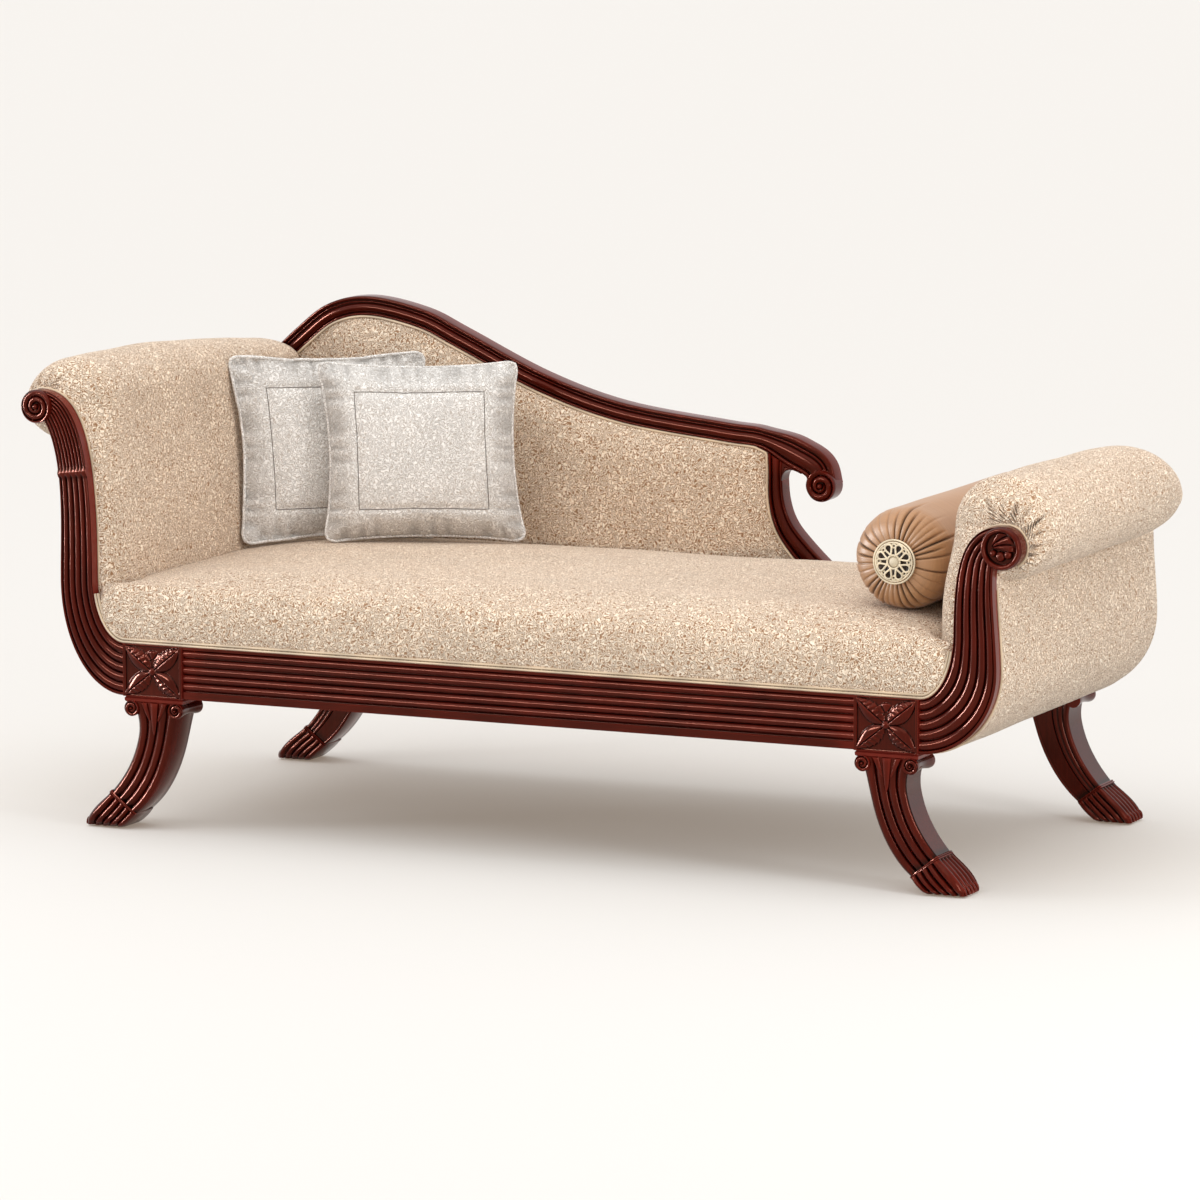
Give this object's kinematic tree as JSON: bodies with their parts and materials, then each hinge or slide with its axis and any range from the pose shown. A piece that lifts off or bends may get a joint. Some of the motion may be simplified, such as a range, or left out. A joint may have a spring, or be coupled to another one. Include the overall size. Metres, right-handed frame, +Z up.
{
  "type": "carved wooden sofa",
  "caption": "Carved chaise sofa with reeded scroll arms of unequal height, sabre legs on paw feet, a falling scrolled back, stuffed seat, loose square cushions and a gathered bolster.",
  "frame": {"origin": "on the floor, under the middle of the sofa's bounding box", "axes": "+X along the length towards the low foot arm, +Y towards the back, +Z up"},
  "size_m": [2.0598, 0.9104, 0.926],
  "materials": {
    "mahogany": "polished deep red-brown mahogany",
    "beech": "plain sawn beech, hidden under the covers",
    "beige_chenille": "beige chenille with a fine vermicular fleck",
    "silver_chenille": "silver-grey flecked chenille",
    "tan_satin": "tan satin, gathered at the ends",
    "gilt_cord": "cream and gold cord work",
    "black_canvas": "black lining canvas and webbing",
    "bolt_steel": "plain steel",
    "glide": "black moulded glide"
  },
  "bodies": {
    "frame": {"front_seat_rail": "mahogany", "rear_seat_rail": "mahogany", "front_left_block": "mahogany", "front_right_block": "mahogany", "rear_left_block": "mahogany", "rear_right_block": "mahogany", "front_left_leg": "mahogany", "front_right_leg": "mahogany", "rear_left_leg": "mahogany", "rear_right_leg": "mahogany", "front_left_arm_post": "mahogany", "front_right_arm_post": "mahogany", "crest_rail": "mahogany", "back_end_stile": "mahogany", "rear_left_arm_post": "beech", "rear_right_arm_post": "beech", "left_arm_top_rail": "beech", "right_arm_top_rail": "beech", "left_arm_tacking_rail": "beech", "right_arm_tacking_rail": "beech", "back_bottom_rail": "beech", "left_end_rail": "beech", "right_end_rail": "beech", "left_seat_stretcher": "beech", "right_seat_stretcher": "beech", "front_left_corner_brace": "beech", "front_right_corner_brace": "beech", "rear_left_corner_brace": "beech", "rear_right_corner_brace": "beech", "left_arm_pad": "beige_chenille", "right_arm_pad": "beige_chenille", "left_arm_outside_panel": "beige_chenille", "right_arm_outside_panel": "beige_chenille", "left_arm_rear_facing": "beige_chenille", "right_arm_rear_facing": "beige_chenille", "inside_back_pad": "beige_chenille", "outside_back_panel": "beige_chenille", "seat_pad": "beige_chenille", "dust_cover": "black_canvas", "seat_webbing": "black_canvas", "front_left_leg_bolt": "bolt_steel", "front_right_leg_bolt": "bolt_steel", "rear_left_leg_bolt": "bolt_steel", "rear_right_leg_bolt": "bolt_steel", "front_left_foot_glide": "glide", "front_right_foot_glide": "glide", "rear_left_foot_glide": "glide", "rear_right_foot_glide": "glide"},
    "bolster": {"bolster": "tan_satin", "bolster_front_rosette": "gilt_cord", "bolster_rear_rosette": "gilt_cord"},
    "left_pillow": {"left_pillow": "silver_chenille"},
    "right_pillow": {"right_pillow": "silver_chenille"}
  },
  "joints": [
    {"name": "bolster_lift", "type": "slide", "parent": "frame", "child": "bolster", "axis": [0, 0, 1], "range_m": [0, 0.35]},
    {"name": "left_pillow_lift", "type": "slide", "parent": "frame", "child": "left_pillow", "axis": [-0.0644, 0.0824, 0.9945], "range_m": [0, 0.5]},
    {"name": "right_pillow_lift", "type": "slide", "parent": "frame", "child": "right_pillow", "axis": [-0.0644, 0.0824, 0.9945], "range_m": [0, 0.5]}
  ]
}
